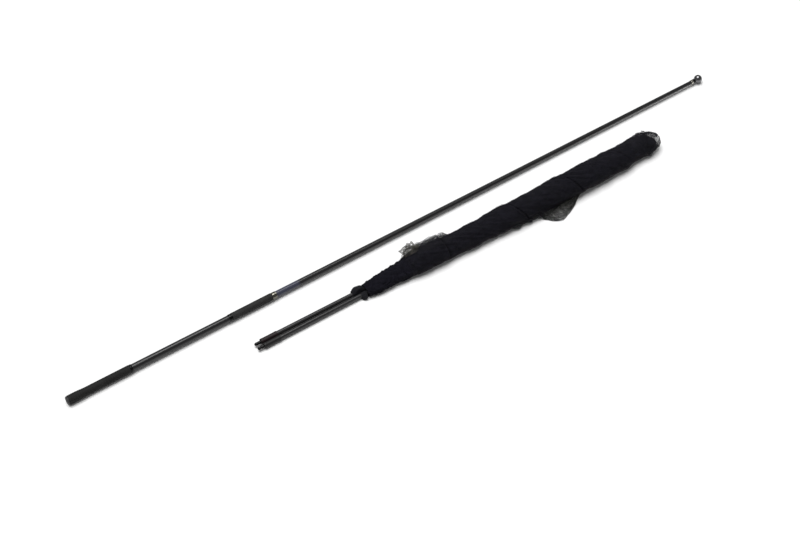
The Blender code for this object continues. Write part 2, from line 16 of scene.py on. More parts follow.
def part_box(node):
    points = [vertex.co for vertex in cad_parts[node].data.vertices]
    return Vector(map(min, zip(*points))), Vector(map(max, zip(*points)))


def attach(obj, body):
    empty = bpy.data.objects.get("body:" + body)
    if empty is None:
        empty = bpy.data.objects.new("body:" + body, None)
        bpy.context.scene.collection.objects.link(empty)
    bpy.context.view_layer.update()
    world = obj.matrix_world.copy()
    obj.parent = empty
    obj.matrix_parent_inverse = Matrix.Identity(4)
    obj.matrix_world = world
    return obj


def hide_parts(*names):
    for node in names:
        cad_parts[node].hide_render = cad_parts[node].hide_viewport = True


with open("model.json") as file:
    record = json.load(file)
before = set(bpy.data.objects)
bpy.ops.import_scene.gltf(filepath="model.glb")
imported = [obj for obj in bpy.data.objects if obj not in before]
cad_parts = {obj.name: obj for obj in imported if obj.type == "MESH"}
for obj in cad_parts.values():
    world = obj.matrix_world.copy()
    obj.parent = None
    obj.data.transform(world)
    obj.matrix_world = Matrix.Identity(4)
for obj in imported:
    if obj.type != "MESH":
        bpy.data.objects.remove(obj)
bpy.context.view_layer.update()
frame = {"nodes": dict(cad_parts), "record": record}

# ---------------------------------------------------------------- sizes (metres)

AROUND = 96                       # columns round a turned piece
GAP = 0.0003                      # the CAD's clearance between neighbours
MESH_TOLERANCE = 0.0004           # for points that share a place along an axis
SOFT_EDGE = 0.0006                # rounding at the ends of the grips and the arms' sleeves
TUBE_STEP = 0.02                  # between a plain tube's rings
HANDLE_WALL = 0.0010
ARM_WALL = 0.0012
TIP_CAP_WALL = 0.0007
TWILL_PITCH = 0.0010              # of the carbon's weave
DIAGONAL = 1.414                  # of a unit square, in the netting's pattern

THREAD_PITCH = 0.0008
STUD_THREAD_DEPTH = 0.0004
BORE_THREAD_DEPTH = 0.00022
INSERT_FLANGE_LENGTH = 0.0045
BALL_NECK_RADIUS = 0.0050

GRIP_PITCH = 0.0042               # of the grips' criss-cross grooves
GRIP_GROOVE = 0.00055
GRIP_STEP = 0.0004                # between the grip mesh's rings
GRIP_LIP = 0.0022                 # plain band at a grip's ends
GRIP_FADE = 0.0012                # over which the grooves begin
GROOVE_HALF = 0.22                # a groove's half width, as a share of the pitch
FLARE_LENGTH = 0.016              # of the butt grip's full flare, and the length that it dies away over
FLARE_FADE = 0.030

ROLL_ROWS = 640
ROLL_COLUMNS = 152
HEM_WIDTH = 0.0085
LAYER_STEP = 0.0023               # how far a wrap's edge stands above the wrap under it
STRAND = 0.00050                  # the netting's thread
BAND_LENGTH = 0.060               # of the tinted, textless band beyond the upper check
BAND_FADE = 0.004
BAG_START = 1.085                 # how far along the arms the netting leaves the roll and bags out
BAG_END = 1.1500
MESH_PITCH = 0.0026               # from knot to knot, along a strand
FLAP_STRAND = 0.00080             # the coarser netting of the corner on the floor
FLAP_PITCH = 0.0040

ROLL_RISE = 0.97                  # the roll's middle, as a share of its half height
ROLL_RADIUS = 0.028               # of the plain drum that its folds are laid out on
FOLD_TWIST = 0.42                 # length in which the long folds go once round it
HOOP_PITCH = 0.0100               # of the tight turns of cord-like folds near the mouth
MOUTH_FOLDS_END = 0.455           # where those turns have died away
MOUTH_FOLDS_FADE = 0.07

# The wound net's overlapping edges form one long helix: turns made (from the handle's side, over the
# top), distance from the spigots' tips, and how much the edge shows.
WRAP_KNOTS = (
    (-1.50, 0.120, 0.0), (-0.917, 0.210, 0.0), (-0.47, 0.275, 0.0),
    (0.083, 0.372, 0.45), (0.53, 0.388, 0.35),
    (1.083, 0.500, 0.85), (1.53, 0.500, 0.65),
    (2.083, 0.6860, 1.0), (2.53, 0.722, 0.9),
    (3.083, 0.843, 1.0), (3.53, 0.884, 0.9),
    (4.083, 0.992, 0.7), (4.53, 1.045, 0.5),
    (5.083, 1.120, 0.3), (5.53, 1.160, 0.0), (6.5, 1.30, 0.0),
)

# Where a turn's edge shows, in turns along that helix, and the thickness of the dark tape of painted shade
# there.
CREASE_SHADE_TAPES = ((1.00, 1.58, 0.0014), (1.97, 2.60, 0.0026), (2.97, 3.60, 0.0026))
CREASE_SHADE_TAPE_BACK = 0.0010             # how far past the edge it lies, in the trough beside it
CREASE_SHADE_TAPE_RISE = 0.0028             # its middle, above the wound net

# Slack turns of netting: name, start and end along the arms, first and last turn round the roll, share
# of the full slack, seed.
LOOSE_LAYERS = (
    ("outer_net", 0.400, BAG_END - 0.0004, -0.13, 0.63, 1.0, 1),
    ("shoulder_net", 0.432, 0.535, -0.02, 0.26, 0.75, 2),
    ("shoulder_under_net", 0.436, 0.530, -0.02, 0.24, 0.5, 7),
    ("frill_net", 0.670, 0.820, 0.46, 0.63, 0.7, 3),
    ("bag_net", 1.050, BAG_END - 0.0130, -0.10, 0.60, 0.75, 4),
    ("bag_under_net", 1.060, BAG_END - 0.0190, -0.08, 0.58, 0.45, 9),
)

# Crumpled handfuls: name, middle (along, sideways, up), radii, seed, paint.
GATHERS = (
    # the upper handful's strands are painted pale: a painted highlight on the black net
    ("gathered_net", (0.4265, 0.021, 0.0355), (0.021, 0.017, 0.013), 4, "pale_strand"),
    ("gathered_under_net", (0.4265, 0.018, 0.032), (0.019, 0.015, 0.011), 6, "dark_strand"),
)

# The corner of netting on the floor: its root on the roll and its free edge, as (along, sideways, up),
# and its layers as name, rise over the lowest layer, share of the reach, seed.
FLAP_SIZE = (0.038, 0.140)
FLAP_ROOT = (
    (0.7480, -0.030, 0.015), (0.8000, -0.036, 0.014), (0.8500, -0.038, 0.013), (0.8950, -0.032, 0.012),
)
FLAP_EDGE = (
    (0.7620, -0.0480, 0.0015), (0.7700, -0.0580, 0.0012), (0.7772, -0.0650, 0.0010),
    (0.7900, -0.0740, 0.0010), (0.7960, -0.0762, 0.0010), (0.8038, -0.0755, 0.0010),
    (0.8300, -0.0645, 0.0010), (0.8500, -0.0540, 0.0012), (0.8672, -0.0420, 0.0020),
    (0.8813, -0.0345, 0.0035),
)
FLAP_LAYERS = (("flap_lower", 0.0, 1.0, 3), ("flap_middle", 0.0018, 0.93, 5), ("flap_upper", 0.0036, 0.85, 8))
FLAP_HEM = 0.0011                 # thickness of its bound edge

# The arms' pockets: how far the mouth slants, the slack cloth's swell, and the swell's angle in degrees.
POCKETS = (("far", 0.003, 0.0030, 55), ("near", 0.0135, 0.0042, -125))
POCKET_ROWS = 90
POCKET_COLUMNS = 96
POCKET_LIP = 0.0012               # how far inside its ends a pocket's bore starts
POCKET_SECTION_POINTS = 16        # a whole section of the CAD pocket has at least this many points

# A camera's and a lamp's directions are degrees: round from -Y or from +X, and up.
CAMERA_PLACE = (-1.39006848, -1.90884111, 2.75651742)
CAMERA_AZIMUTH = -34.20
CAMERA_ELEVATION = 50
CAMERA_LENS = 70
KEY_BEARING = 105
KEY_ELEVATION = 79
KEY_SPREAD = 46
KEY_STRENGTH = 3.15
SKY_STRENGTH = 0.25
FLOOR_REACH = 30
FLOOR_HEIGHT = -0.0002

# ---------------------------------------------------------------- places, from the CAD


class Line:
    """An axis in space, with sideways (away from the camera) and upward directions."""

    def __init__(self, start, along):
        self.start, self.along = np.array(start, float), np.array(along, float)
        self.along /= np.linalg.norm(self.along)
        self.side = np.cross((0.0, 0.0, 1.0), self.along)
        self.side /= np.linalg.norm(self.side)
        self.up = np.cross(self.along, self.side)

    def points(self, distance, side, up):
        """Space points from arrays of distance along, offset sideways and offset upwards."""
        distance, side, up = np.broadcast_arrays(distance, side, up)
        return (self.start + distance[..., None] * self.along + side[..., None] * self.side
                + up[..., None] * self.up)

    def local(self, points):
        """The reverse of points(): (distance, side, up) columns."""
        return (np.asarray(points, float) - self.start) @ np.array((self.along, self.side, self.up)).T


def corners_of(node):
    mesh = frame["nodes"][node].data
    found = np.empty(len(mesh.vertices) * 3)
    mesh.vertices.foreach_get("co", found)
    return found.reshape(-1, 3)


def span(node, line):
    """(start, end, greatest radius) of a turned node along its own axis."""
    local = line.local(corners_of(node))
    return local[:, 0].min(), local[:, 0].max(), np.hypot(local[:, 1], local[:, 2]).max()


def taper(node, line):
    """The outer radius of a tapered tube, as a function of the distance along it."""
    local = line.local(corners_of(node))
    start, end = local[:, 0].min(), local[:, 0].max()
    radii = [np.hypot(*local[abs(local[:, 0] - at) < GAP][:, 1:].T).max() for at in (start, end)]
    return lambda distance: np.interp(distance, (start, end), radii)


def radius_near(node, line, distance):
    """A turned node's outer radius near one place along it."""
    local = line.local(corners_of(node))
    near = np.argsort(abs(local[:, 0] - distance))[:64]
    return np.hypot(local[near, 1], local[near, 2]).max()


def arm_line(side):
    """An arm's axis, from its spigot's end towards its tip."""
    mount = mounts[side + "_spigot_end"]
    return Line(mount["pos_m"], [-x for x in mount["axis"]])


mounts = {mount["name"]: mount for mount in frame["record"]["mounts"]}
cap_low, cap_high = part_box("butt_cap")
handle_line = Line((cap_low.x, (cap_low.y + cap_high.y) / 2, (cap_low.z + cap_high.z) / 2), (1, 0, 0))
arm_lines = {side: arm_line(side) for side in ("far", "near")}
arm_height = arm_lines["far"].start[2]
head_start = (arm_lines["far"].start + arm_lines["near"].start) / 2
head_line = Line((head_start[0], head_start[1], 0), arm_lines["far"].along + arm_lines["near"].along)

# ---------------------------------------------------------------- materials


class Paint:
    """A Principled material, with short ways to add the nodes that vary it."""

    def __init__(self, name, colour, roughness, metallic=0.0, **more):
        self.material = bpy.data.materials.new(name)
        self.material.use_nodes = True
        self.tree = self.material.node_tree
        self.shader = self.tree.nodes["Principled BSDF"]
        self.set("Base Color", (*colour, 1))
        self.set("Roughness", roughness)
        self.set("Metallic", metallic)
        for key, value in more.items():
            self.set(key.replace("_", " "), value)

    def set(self, socket, value):
        if isinstance(value, bpy.types.NodeSocket):
            self.tree.links.new(value, self.shader.inputs[socket])
        else:
            self.shader.inputs[socket].default_value = value

    def node(self, kind, inputs=(), **settings):
        made = self.tree.nodes.new(kind)
        for key, value in settings.items():
            setattr(made, key, value)
        for key, value in dict(inputs).items():
            if isinstance(value, bpy.types.NodeSocket):
                self.tree.links.new(value, made.inputs[key])
            else:
                made.inputs[key].default_value = value
        return made

    def maths(self, operation, *values):
        return self.node("ShaderNodeMath", dict(enumerate(values)), operation=operation).outputs[0]

    def place(self, scale=(1, 1, 1), flat=False):
        """The object's own coordinates in metres, or its UV map's, stretched."""
        source = self.node("ShaderNodeTexCoord").outputs["UV" if flat else "Object"]
        return self.node("ShaderNodeMapping", {"Vector": source, "Scale": scale}).outputs[0]

    def noise(self, place, scale, detail=2.0, roughness=0.5):
        inputs = {"Vector": place, "Scale": scale, "Detail": detail, "Roughness": roughness}
        return self.node("ShaderNodeTexNoise", inputs).outputs["Fac"]

    def ramp(self, value, low, high, to_low, to_high):
        """A value or a grey between two levels, as another value."""
        inputs = {"Value": value, "From Min": low, "From Max": high, "To Min": to_low, "To Max": to_high}
        return self.node("ShaderNodeMapRange", inputs).outputs[0]

    def mix(self, share, first, second):
        made = self.node("ShaderNodeMix", data_type="RGBA")
        for index, value in ((0, share), (6, first), (7, second)):
            if isinstance(value, bpy.types.NodeSocket):
                self.tree.links.new(value, made.inputs[index])
            else:
                made.inputs[index].default_value = value if index == 0 else (*value, 1)
        return made.outputs[2]

    def bump(self, height, distance, strength=1.0):
        inputs = {"Height": height, "Distance": distance, "Strength": strength}
        self.set("Normal", self.node("ShaderNodeBump", inputs).outputs[0])


def carbon_paint(name, colour, light, band=None):
    """Glossy lacquered carbon: a fine twill under a clear coat, and faint handling marks."""
    paint = Paint(name, colour, 0.30, Coat_Weight=0.20, Coat_Roughness=0.10, Specular_IOR_Level=0.28)
    u, v, _ = paint.node("ShaderNodeSeparateXYZ", {0: paint.place(flat=True)}).outputs
    across = paint.maths("MULTIPLY", u, 1 / TWILL_PITCH)
    along = paint.maths("MULTIPLY", v, 1 / TWILL_PITCH)
    step = paint.maths("ADD", paint.maths("FLOOR", across), paint.maths("FLOOR", along))
    over = paint.maths("LESS_THAN", paint.maths("MODULO", step, 4.0), 1.5)
    cloud = paint.noise(paint.place((6, 60, 60)), 1.0, 3.0)
    shade = paint.maths("ADD", paint.maths("MULTIPLY", over, 0.30), paint.maths("MULTIPLY", cloud, 0.55))
    tone = paint.mix(shade, colour, light)
    if band:
        start, end, tint, fade = band
        x = paint.node("ShaderNodeSeparateXYZ", {0: paint.place()}).outputs[0]
        begins = paint.ramp(x, start - fade, start + fade, 0, 1)
        ends = paint.ramp(x, end - fade, end + fade, 1, 0)
        on = paint.maths("MULTIPLY", begins, ends)
        tone = paint.mix(on, tone, paint.mix(cloud, [0.6 * t for t in tint], tint))
    paint.set("Base Color", tone)
    marks = paint.noise(paint.place((12, 220, 220)), 1.0, 4.0, 0.6)
    paint.set("Roughness", paint.ramp(marks, 0.35, 0.75, 0.24, 0.42))
    paint.bump(paint.maths("ADD", paint.maths("MULTIPLY", over, 0.4), marks), 0.00003, 0.5)
    return paint.material


def rubber_paint(name, colour, light, roughness, grain=900.0):
    """Moulded rubber or foam: a fine grain, paler where it stands proud."""
    paint = Paint(name, colour, roughness, Specular_IOR_Level=0.25)
    fine = paint.noise(paint.place(), grain, 3.0, 0.6)
    broad = paint.noise(paint.place(), 45.0, 3.0)
    raised_grain_tone = paint.maths("ADD", paint.maths("MULTIPLY", fine, 0.65), paint.maths("MULTIPLY", broad, 0.35))
    # paler where the fine grain stands proud, with a broad random tone
    paint.set("Base Color", paint.mix(paint.ramp(raised_grain_tone, 0.35, 0.65, 0, 1), colour, light))
    paint.set("Roughness", paint.ramp(fine, 0.3, 0.7, roughness - 0.08, roughness + 0.10))
    paint.bump(fine, 0.00012, 0.5)
    return paint.material


def metal_paint(name, colour, roughness, coat=0.0, lathe=2200.0):
    """Turned metal: fine tool lines round it, and slight cloudiness."""
    paint = Paint(name, colour, roughness, 1.0, Coat_Weight=coat, Coat_Roughness=0.08)
    lines = paint.noise(paint.place((lathe, 6, 6)), 1.0, 1.0)
    cloud = paint.noise(paint.place(), 160.0, 3.0)
    paint.set("Base Color", paint.mix(cloud, [0.82 * c for c in colour], colour))
    paint.set("Roughness", paint.ramp(cloud, 0.3, 0.7, roughness * 0.8, roughness * 1.35))
    paint.bump(lines, 0.00001, 0.35)
    return paint.material


def net_paint(name, colour, tint, pitch=MESH_PITCH, fibre=0.85):
    """Black knitted netting: threads over holes painted darker as painted shade of the layers under them, with a
    soft nap, a random tint and a mottle of painted fold shade.
    """
    paint = Paint(name, colour, fibre, Specular_IOR_Level=0.12)
    u, v, _ = paint.node("ShaderNodeSeparateXYZ", {0: paint.place(flat=True)}).outputs
    diagonals = (paint.maths("ADD", u, v), paint.maths("SUBTRACT", u, v))
    threads = [paint.maths("ABSOLUTE", paint.maths("SINE", paint.maths("MULTIPLY", d, pi / pitch / DIAGONAL)))
               for d in diagonals]
    hole = paint.maths("MULTIPLY", *threads)
    thread = paint.ramp(hole, 0.15, 0.75, 1, 0)
    broad = paint.noise(paint.place((9, 26, 26)), 1.0, 4.0, 0.6)
    # a mottle of painted shade from small folds, mixed with a broad random tint
    painted_fold_shade = paint.noise(paint.place((70, 110, 110)), 1.0, 3.0, 0.6)
    tone_and_painted_shade = paint.maths("ADD", paint.maths("MULTIPLY", broad, 0.45), paint.maths("MULTIPLY", painted_fold_shade, 0.55))
    colour_and_painted_shade = paint.mix(paint.ramp(tone_and_painted_shade, 0.38, 0.62, 0, 1), colour, tint)
    # holes take 0.55 of the colour: painted shade of the layers seen through them
    paint.set("Base Color", paint.mix(thread, [0.55 * c for c in colour], colour_and_painted_shade))
    fuzz = paint.noise(paint.place(), 2400.0, 2.0)
    paint.bump(paint.maths("ADD", thread, paint.maths("MULTIPLY", fuzz, 0.3)), 0.00030, 0.7)
    paint.set("Roughness", paint.ramp(fuzz, 0.2, 0.8, fibre - 0.1, fibre + 0.1))
    return paint.material


def strand_paint(name, colour, tint):
    """The threads of a single layer of netting: twisted, with a slight shine and a mottle of painted fold shade.
    """
    paint = Paint(name, colour, 0.6, Specular_IOR_Level=0.3)
    twist = paint.noise(paint.place(), 1800.0, 2.0)
    # a mottle of painted shade from small folds, mixed with the threads' twist
    painted_fold_shade = paint.noise(paint.place((70, 110, 110)), 1.0, 3.0, 0.6)
    tone_and_painted_shade = paint.maths("ADD", paint.maths("MULTIPLY", twist, 0.35), paint.maths("MULTIPLY", painted_fold_shade, 0.65))
    paint.set("Base Color", paint.mix(paint.ramp(tone_and_painted_shade, 0.40, 0.60, 0, 1), colour, tint))
    paint.bump(twist, 0.00008, 0.6)
    return paint.material


band_start = handle_line.start[0] + span("mid_check_upper", handle_line)[1] + GAP
paints = {
    "carbon": carbon_paint("carbon_handle", (0.006, 0.006, 0.0065), (0.020, 0.020, 0.021),
                           (band_start, band_start + BAND_LENGTH, (0.050, 0.054, 0.085), BAND_FADE)),
    "arm_carbon": carbon_paint("carbon_arms", (0.008, 0.008, 0.0085), (0.026, 0.026, 0.027)),
    "grip": rubber_paint("grip_rubber", (0.003, 0.003, 0.003), (0.014, 0.014, 0.014), 0.66, 420.0),
    "mid_grip": rubber_paint("mid_grip_rubber", (0.008, 0.008, 0.008), (0.026, 0.026, 0.026), 0.62, 420.0),
    "cap": rubber_paint("cap_rubber", (0.020, 0.020, 0.021), (0.045, 0.045, 0.046), 0.50, 500.0),
    "seal": rubber_paint("seal_rubber", (0.004, 0.004, 0.004), (0.008, 0.008, 0.008), 0.45),
    "far_sleeve": rubber_paint("far_sleeve_shrink", (0.006, 0.004, 0.0045), (0.019, 0.009, 0.011), 0.45),
    "near_sleeve": rubber_paint("near_sleeve_shrink", (0.005, 0.005, 0.005), (0.014, 0.014, 0.0145), 0.45),
    "bright": metal_paint("bright_metal", (0.55, 0.53, 0.47), 0.16),
    "champagne": metal_paint("champagne_metal", (0.17, 0.165, 0.14), 0.10),
    "nickel": metal_paint("dark_nickel", (0.022, 0.022, 0.022), 0.10),
    "black_metal": metal_paint("black_metal", (0.014, 0.014, 0.0145), 0.34, 0.1),
    "gunmetal": metal_paint("gunmetal", (0.16, 0.16, 0.165), 0.14, 0.3, 900.0),
    "moulded": rubber_paint("moulded_block", (0.010, 0.010, 0.011), (0.020, 0.020, 0.021), 0.45, 1400.0),
    "net": net_paint("wound_netting", (0.0030, 0.0028, 0.0060), (0.0095, 0.0088, 0.0155)),
    "pocket": net_paint("pocket_cloth", (0.010, 0.010, 0.013), (0.018, 0.018, 0.022), 0.0009, 0.7),
    "strand": strand_paint("flap_strands", (0.008, 0.008, 0.008), (0.030, 0.031, 0.027)),
    # pale strands for the gathered black net: painted highlight
    "pale_strand": strand_paint("gathered_strands", (0.014, 0.013, 0.011), (0.17, 0.16, 0.135)),
    "dark_strand": strand_paint("outer_strands", (0.0022, 0.0020, 0.0048), (0.0100, 0.0092, 0.0165)),
    # near-black tape laid in the wound net's creases as painted shade
    "binding": rubber_paint("edge_binding", (0.0010, 0.0010, 0.0014), (0.0022, 0.0022, 0.0028), 0.8),
}

# ---------------------------------------------------------------- mesh helpers


def mesh_object(name, points, faces, paint, uv=None, sharp=40):
    mesh = bpy.data.meshes.new(name)
    mesh.from_pydata([tuple(p) for p in points], [], faces)
    mesh.materials.append(paint)
    if uv is not None:
        layer = mesh.uv_layers.new(name="UVMap")
        layer.data.foreach_set("uv", np.asarray(uv, float).reshape(-1))
    mesh.shade_smooth()
    mesh.set_sharp_from_angle(angle=radians(sharp))
    made = bpy.data.objects.new(name, mesh)
    bpy.context.scene.collection.objects.link(made)
    return made


def merge_close(made, within=1e-6):
    """Welds the points that fall together at a pole, and drops what collapses there."""
    shape = bmesh.new()
    shape.from_mesh(made.data)
    bmesh.ops.remove_doubles(shape, verts=shape.verts, dist=within)
    bmesh.ops.dissolve_degenerate(shape, edges=shape.edges, dist=within)
    shape.to_mesh(made.data)
    shape.free()


def skin(name, points, paint, lengths, girth, loop=False, sharp=40):
    """A tube of quads through points[row, column]; loop joins the last row to the first."""
    rows, columns = points.shape[:2]
    last = rows if loop else rows - 1
    i, j = np.meshgrid(np.arange(last), np.arange(columns), indexing="ij")
    i, j = i.ravel(), j.ravel()
    below, beside = (i + 1) % rows, (j + 1) % columns
    faces = np.stack((i * columns + j, i * columns + beside, below * columns + beside, below * columns + j), 1)
    u = np.stack((j, j + 1, j + 1, j), 1) / columns * girth
    v = np.stack((lengths[i], lengths[i], lengths[i + 1], lengths[i + 1]), 1)
    return mesh_object(name, points.reshape(-1, 3), faces.tolist(), paint, np.stack((u, v), 2), sharp)


def lengths_of(points):
    """How far along its own middle line each row of points is, with a 0 for a loop's last row."""
    steps = np.linalg.norm(np.diff(points.mean(1), axis=0), axis=1)
    return np.concatenate(([0], np.cumsum(steps), [0]))


def turned(name, line, outline, paint, body, replaces, relief=None, around=AROUND, loop=True):
    """Spins (distance, radius) points about an axis, with relief(distance, turn, radius) added."""
    distance, radius = np.array(outline, float).T
    turn = np.arange(around) / around
    radii = np.repeat(radius[:, None], around, 1)
    if relief:
        radii = radii + relief(distance[:, None], turn[None, :], radius[:, None])
    ring = line.points(distance[:, None], radii * np.cos(2 * pi * turn), radii * np.sin(2 * pi * turn))
    steps = np.hypot(np.diff(distance, append=distance[0]), np.diff(radius, append=radius[0]))
    lengths = np.concatenate(([0], np.cumsum(steps)))
    period = 0.004
    made = skin(name, ring, paint, lengths, period * max(1, round(2 * pi * radius.max() / period)), loop)
    if radius.min() <= 0:
        merge_close(made)
    return belongs(made, body, replaces)


def belongs(made, body, replaces=None):
    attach(made, body)
    if replaces:
        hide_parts(replaces)
    return made


def steps_between(start, end, step):
    return np.linspace(start, end, max(2, int(round((end - start) / step)) + 1))


def rounded(start, end, outer, bore, edge, step=None, shape=None):
    """The closed outline of a sleeve with rounded outer edges, and more rings if it carries a relief."""
    arc = [pi / 2 * i / 4 for i in range(5)]
    first = [(start + edge * (1 - sin(a)), outer - edge * (1 - cos(a))) for a in reversed(arc)]
    last = [(end - edge * (1 - sin(a)), outer - edge * (1 - cos(a))) for a in arc]
    body = [(x, outer) for x in steps_between(start + edge, end - edge, step)[1:-1]] if step else []
    outline = [(start, bore)] + first + body + last + [(end, bore)]
    if shape:
        outline = [(x, r if r == bore else r + shape(x)) for x, r in outline]
    return outline


# ---------------------------------------------------------------- handle

blank = taper("handle_blank", handle_line)


def criss_cross(start, end, outer):
    """Two families of shallow grooves that wind round a grip, with plain lips at its ends."""
    count = round(2 * pi * outer / GRIP_PITCH)

    def relief(distance, turn, radius):
        inside = np.clip((np.minimum(distance - start, end - distance) - GRIP_LIP) / GRIP_FADE, 0, 1)
        on_skin = radius > outer * 0.93
        grooves = 0
        for way in (1, -1):
            phase = (distance / GRIP_PITCH + way * turn * count) % 1
            grooves = np.maximum(grooves, np.clip(1 - abs(phase - 0.5) / GROOVE_HALF, 0, 1))
        return -GRIP_GROOVE * grooves * inside * on_skin

    return relief


def make_handle():
    start, end, _ = span("handle_blank", handle_line)
    along = steps_between(start, end, TUBE_STEP)
    outline = [(x, blank(x)) for x in along] + [(x, blank(x) - HANDLE_WALL) for x in reversed(along)]
    turned("handle_tube", handle_line, outline, paints["carbon"], "handle", "handle_blank")

    start, end, flare = span("butt_grip", handle_line)
    bore, outer = blank(start) + GAP, radius_near("butt_grip", handle_line, end - 0.02)
    fade = flare - outer

    def flared(x):
        share = np.clip((x - start - FLARE_LENGTH) / FLARE_FADE, 0, 1)
        return fade * (1 + np.cos(pi * share)) / 2

    turned("butt_grip_sleeve", handle_line, rounded(start, end, outer, bore, SOFT_EDGE, GRIP_STEP, flared),
           paints["grip"], "handle", "butt_grip", criss_cross(start, end, outer), 200)

    start, end, outer = span("mid_grip", handle_line)
    bore = blank(start) + GAP
    turned("mid_grip_sleeve", handle_line, rounded(start, end, outer, bore, SOFT_EDGE, GRIP_STEP),
           paints["mid_grip"], "handle", "mid_grip", criss_cross(start, end, outer), 184)

    make_butt_end()
    for node, name, paint, slot in (("butt_winding_check", "butt_check_ring", "black_metal", "black_metal"),
                                    ("mid_check_lower", "lower_check_ring", "nickel", "bright_metal"),
                                    ("mid_check_upper", "upper_check_ring", "champagne", "bright_metal")):
        make_ring(node, name, paints[paint])
    make_tip()
    make_plug()


def face_radius(node):
    """The radius of a turned node's flat end face, at its low end on the handle's axis."""
    local = handle_line.local(corners_of(node))
    face = local[local[:, 0] < local[:, 0].min() + GAP / 10]
    return np.hypot(*face[:, 1:].T).max()


def make_butt_end():
    """The butt cap: a soft-edged flange, dished round a raised ring, and the shank that plugs the blank."""
    start, end, flange = span("butt_cap", handle_line)
    lip = span("butt_grip", handle_line)[0] - GAP
    shank = blank(end) - HANDLE_WALL - GAP
    edge = [pi / 2 * i / 8 for i in range(9)]
    flat = flange - face_radius("butt_cap")
    dish, ring = 0.0005, 0.0003
    turned("butt_end_cap", handle_line, [
        (start + dish, 0), (start + dish, flange * 0.22), (start + dish - ring, flange * 0.25),
        (start + dish - ring, flange * 0.32), (start + dish, flange * 0.35),
        (start + dish, (flange - flat) * 0.90), (start + 0.0001, (flange - flat) * 0.97),
        *((start + flat * (1 - cos(a)), flange - flat * (1 - sin(a))) for a in edge),
        (lip - 0.0003, flange), (lip, flange - 0.0003), (lip, shank),
        (end - 0.0006, shank), (end, shank - 0.0006), (end, 0),
    ], paints["cap"], "handle", "butt_cap", loop=False)


def make_ring(node, name, paint):
    """A turned winding check: two beads with grooves cut beside a wider crown."""
    start, end, crown = span(node, handle_line)
    bore = blank(start) + GAP
    length, lip = end - start, (bore + crown) / 2

    def bead(share):
        if 0.25 < share < 0.75:
            return 0.5 + 0.5 * sin(pi * (share - 0.25) / 0.5)
        return 0.5 * (1 + cos(2 * pi * share * 4))

    def profile(share):
        return lip + (crown - lip) * (0.25 + 0.75 * bead(share))

    outline = [(start, bore), (start, lip)]
    outline += [(start + length * s, profile(s)) for s in np.linspace(0.04, 0.96, 33)]
    outline += [(end, lip), (end, bore)]
    turned(name, handle_line, outline, paint, "handle", node)


def thread_wave(distance, turn):
    """The profile of the plug's screw thread, from 0 to 1."""
    phase = (distance / THREAD_PITCH - turn) % 1
    return np.clip(abs(phase - 0.5) * 2.4 - 0.2, 0, 1)


def stud_thread(distance, turn, radius):
    return -STUD_THREAD_DEPTH * thread_wave(distance, turn) * (radius > 0.001)


def make_tip():
    """The bright collar round the blank's end, and the threaded insert in it."""
    start, end, outer = span("tip_collar", handle_line)
    bore = blank(start) + GAP
    turned("tip_ring", handle_line, rounded(start, end, outer, bore, 0.00025), paints["bright"], "handle",
           "tip_collar")

    start, end, flange = span("thread_insert", handle_line)
    hole = radius_near("plug_stud", handle_line, end) + GAP
    lip, shank = end - INSERT_FLANGE_LENGTH, blank(end) - HANDLE_WALL - GAP
    threads = steps_between(start, end - 0.0006, THREAD_PITCH / 6)
    outline = [(start, hole), (start, shank), (lip, shank), (lip, flange - 0.0002), (lip + 0.0002, flange),
               (lip + 0.0019, flange), (lip + 0.0022, flange - 0.0003), (lip + 0.0025, flange),
               (end - 0.0003, flange), (end, flange - 0.0003), (end, hole + 0.0004), (end - 0.0005, hole)]
    outline += [(x, hole) for x in reversed(threads[1:-1])]

    def bored(distance, turn, radius):
        return np.where(radius < hole * 1.01, BORE_THREAD_DEPTH * thread_wave(distance, turn), 0)

    turned("tip_insert", handle_line, outline, paints["black_metal"], "handle", "thread_insert",
           bored, 48)


def make_plug():
    """The sealing washer, and the ball with its threaded stud."""
    root = radius_near("plug_stud", handle_line, span("thread_insert", handle_line)[1])
    start, end, outer = span("sealing_washer", handle_line)
    turned("seal_ring", handle_line, rounded(start, end, outer, root + GAP, 0.0007), paints["seal"],
           "plug_seal", "sealing_washer")

    start, end, stud = span("plug_stud", handle_line)
    body = [(x, stud) for x in steps_between(start + 0.0006, end - 0.0002, THREAD_PITCH / 8)]
    turned("plug_thread", handle_line, [(start, 0), (start, stud - 0.0007), *body, (end, stud), (end, 0)],
           paints["bright"], "ball_plug", "plug_stud", stud_thread, 48, loop=False)

    seat, top, radius = span("ball_head", handle_line)
    centre, neck = top - radius, BALL_NECK_RADIUS
    first = np.arcsin(neck / radius)
    bottom = end + GAP
    turn = np.linspace(first, pi, 60)[:-1]
    groove = [0.00018 * np.exp(-((a - pi / 2) / 0.035) ** 2) for a in turn]
    ball = [(centre - (radius - g) * cos(a), (radius - g) * sin(a)) for a, g in zip(turn, groove)]
    turned("ball_knob", handle_line, [
        (bottom, 0), (bottom, stud + GAP), (seat, stud + GAP), (seat, neck - 0.0002), (seat + 0.0002, neck),
        (centre - radius * cos(first) - 0.0004, neck - 0.0001), *ball, (top, 0),
    ], paints["gunmetal"], "ball_plug", "ball_head", around=128, loop=False)


# ---------------------------------------------------------------- arms


